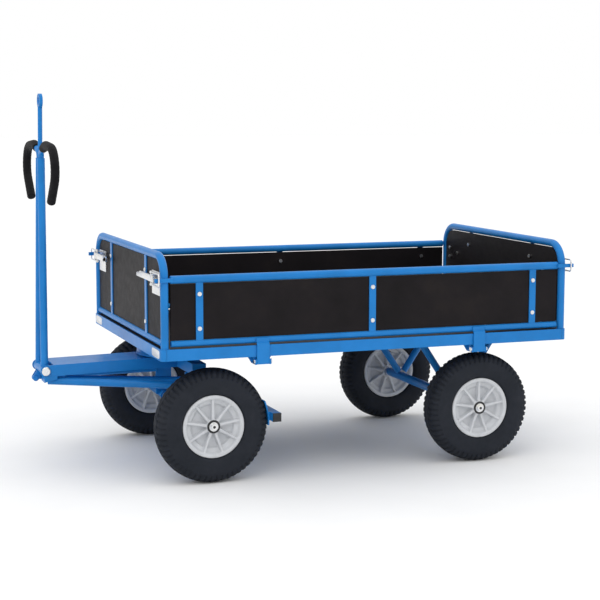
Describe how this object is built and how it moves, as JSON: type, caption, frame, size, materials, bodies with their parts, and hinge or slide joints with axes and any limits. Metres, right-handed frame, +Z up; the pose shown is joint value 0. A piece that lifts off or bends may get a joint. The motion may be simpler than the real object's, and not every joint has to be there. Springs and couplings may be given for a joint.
{
  "type": "garden cart",
  "caption": "Four-wheel hand-drawn platform cart with ball-race steering, fold-down side gates, latched end gates and a drawbar that works the parking brake.",
  "frame": {"origin": "on the ground, under the middle of the whole cart's bounding box in the rest pose", "axes": "-X towards the drawbar, +X towards the tail, -Y left, +Z up"},
  "size_m": [1.904, 1.039, 1.338],
  "materials": {
    "blue_paint": "gloss powder coat",
    "zinc": "zinc plated",
    "ply": "film-faced plywood with a fine mesh",
    "tyre": "matt rubber",
    "rim": "satin moulded plastic",
    "foam": "soft foam",
    "black_plastic": "moulded caps",
    "steel": "bright steel"
  },
  "bodies": {
    "chassis": {"frame_rails": "blue_paint", "corner_sockets": "blue_paint", "deck_bearers": "blue_paint", "deck_panel": "ply", "hinge_brackets": "blue_paint", "hinge_pins": "zinc", "turntable_top": "blue_paint", "kingpin": "steel", "rear_axle": "blue_paint", "rear_struts": "blue_paint", "rear_axle_hardware": "zinc", "end_gate_hoops": "blue_paint", "end_gate_bars": "blue_paint", "end_gate_panels": "ply", "end_gate_bolts": "zinc", "latch_bases": "zinc"},
    "front_carriage": {"carriage_frame": "blue_paint", "lower_race": "blue_paint", "race_balls": "steel", "drawbar_arm": "blue_paint", "front_axle": "blue_paint", "drawbar_struts": "blue_paint", "front_axle_hardware": "zinc", "pivot_bolt": "zinc", "brake_brackets": "blue_paint"},
    "drawbar": {"drawbar_tubes": "blue_paint", "pivot_sleeve": "blue_paint", "horn_tubes": "blue_paint", "foam_grips": "foam", "tow_eye": "blue_paint", "brake_lever": "blue_paint"},
    "pull_rod": {"brake_rod": "blue_paint"},
    "brake": {"brake_arms": "blue_paint", "brake_bar": "blue_paint", "brake_bar_caps": "black_plastic", "brake_shoes": "blue_paint"},
    "left_gate": {"left_gate_rails": "blue_paint", "left_gate_straps": "blue_paint", "left_gate_panel": "ply", "left_gate_bolts": "zinc"},
    "right_gate": {"right_gate_rails": "blue_paint", "right_gate_straps": "blue_paint", "right_gate_panel": "ply", "right_gate_bolts": "zinc"},
    "front_left_wheel": {"front_left_tyre": "tyre", "front_left_rim": "rim"},
    "front_left_lever": {"front_left_latch_lever": "zinc"},
    "front_left_bail": {"front_left_latch_bail": "zinc"},
    "front_right_wheel": {"front_right_tyre": "tyre", "front_right_rim": "rim"},
    "front_right_lever": {"front_right_latch_lever": "zinc"},
    "front_right_bail": {"front_right_latch_bail": "zinc"},
    "rear_right_wheel": {"rear_right_tyre": "tyre", "rear_right_rim": "rim"},
    "rear_right_lever": {"rear_right_latch_lever": "zinc"},
    "rear_right_bail": {"rear_right_latch_bail": "zinc"},
    "rear_left_wheel": {"rear_left_tyre": "tyre", "rear_left_rim": "rim"},
    "rear_left_lever": {"rear_left_latch_lever": "zinc"},
    "rear_left_bail": {"rear_left_latch_bail": "zinc"}
  },
  "joints": [
    {"name": "steering", "type": "hinge", "parent": "chassis", "child": "front_carriage", "pos_m": [-0.412, 0, 0.4], "axis": [0, 0, 1], "range_deg": [-50, 50]},
    {"name": "drawbar_fold", "type": "hinge", "parent": "front_carriage", "child": "drawbar", "pos_m": [-0.917, 0, 0.361], "axis": [0, 1, 0], "range_deg": [-105, 0]},
    {"name": "pull_rod_pin", "type": "hinge", "parent": "drawbar", "child": "pull_rod", "pos_m": [-0.941, 0, 0.327], "axis": [0, 1, 0], "range_deg": [0, 105]},
    {"name": "brake_swing", "type": "hinge", "parent": "front_carriage", "child": "brake", "pos_m": [-0.184, 0, 0.15], "axis": [0, 1, 0], "range_deg": [0, 28]},
    {"name": "left_gate_fold", "type": "hinge", "parent": "chassis", "child": "left_gate", "pos_m": [0.161, -0.505, 0.427], "axis": [1, 0, 0], "range_deg": [0, 180]},
    {"name": "right_gate_fold", "type": "hinge", "parent": "chassis", "child": "right_gate", "pos_m": [0.161, 0.505, 0.427], "axis": [-1, 0, 0], "range_deg": [0, 180]},
    {"name": "front_left_spin", "type": "hinge", "parent": "front_carriage", "child": "front_left_wheel", "pos_m": [-0.412, -0.42, 0.2], "axis": [0, 1, 0], "continuous": true},
    {"name": "front_left_latch", "type": "hinge", "parent": "chassis", "child": "front_left_lever", "pos_m": [-0.617, -0.44, 0.718], "axis": [0, 0, 1], "range_deg": [0, 150]},
    {"name": "front_left_bail_swing", "type": "hinge", "parent": "front_left_lever", "child": "front_left_bail", "pos_m": [-0.617, -0.415, 0.718], "axis": [0, 0, 1], "range_deg": [-165, 0]},
    {"name": "front_right_spin", "type": "hinge", "parent": "front_carriage", "child": "front_right_wheel", "pos_m": [-0.412, 0.42, 0.2], "axis": [0, 1, 0], "continuous": true},
    {"name": "front_right_latch", "type": "hinge", "parent": "chassis", "child": "front_right_lever", "pos_m": [-0.617, 0.44, 0.718], "axis": [0, 0, -1], "range_deg": [0, 150]},
    {"name": "front_right_bail_swing", "type": "hinge", "parent": "front_right_lever", "child": "front_right_bail", "pos_m": [-0.617, 0.415, 0.718], "axis": [0, 0, -1], "range_deg": [-165, 0]},
    {"name": "rear_right_spin", "type": "hinge", "parent": "chassis", "child": "rear_right_wheel", "pos_m": [0.605, 0.42, 0.2], "axis": [0, 1, 0], "continuous": true},
    {"name": "rear_right_latch", "type": "hinge", "parent": "chassis", "child": "rear_right_lever", "pos_m": [0.939, 0.44, 0.718], "axis": [0, 0, 1], "range_deg": [0, 150]},
    {"name": "rear_right_bail_swing", "type": "hinge", "parent": "rear_right_lever", "child": "rear_right_bail", "pos_m": [0.939, 0.415, 0.718], "axis": [0, 0, 1], "range_deg": [-165, 0]},
    {"name": "rear_left_spin", "type": "hinge", "parent": "chassis", "child": "rear_left_wheel", "pos_m": [0.605, -0.42, 0.2], "axis": [0, 1, 0], "continuous": true},
    {"name": "rear_left_latch", "type": "hinge", "parent": "chassis", "child": "rear_left_lever", "pos_m": [0.939, -0.44, 0.718], "axis": [0, 0, -1], "range_deg": [0, 150]},
    {"name": "rear_left_bail_swing", "type": "hinge", "parent": "rear_left_lever", "child": "rear_left_bail", "pos_m": [0.939, -0.415, 0.718], "axis": [0, 0, -1], "range_deg": [-165, 0]}
  ],
  "couplings": [
    {"joint": "pull_rod_pin", "follows": "drawbar_fold", "ratio": -1},
    {"joint": "brake_swing", "follows": "drawbar_fold", "ratio": -0.262},
    {"joint": "front_left_bail_swing", "follows": "front_left_latch", "ratio": -1.1},
    {"joint": "front_right_bail_swing", "follows": "front_right_latch", "ratio": -1.1},
    {"joint": "rear_right_bail_swing", "follows": "rear_right_latch", "ratio": -1.1},
    {"joint": "rear_left_bail_swing", "follows": "rear_left_latch", "ratio": -1.1}
  ]
}
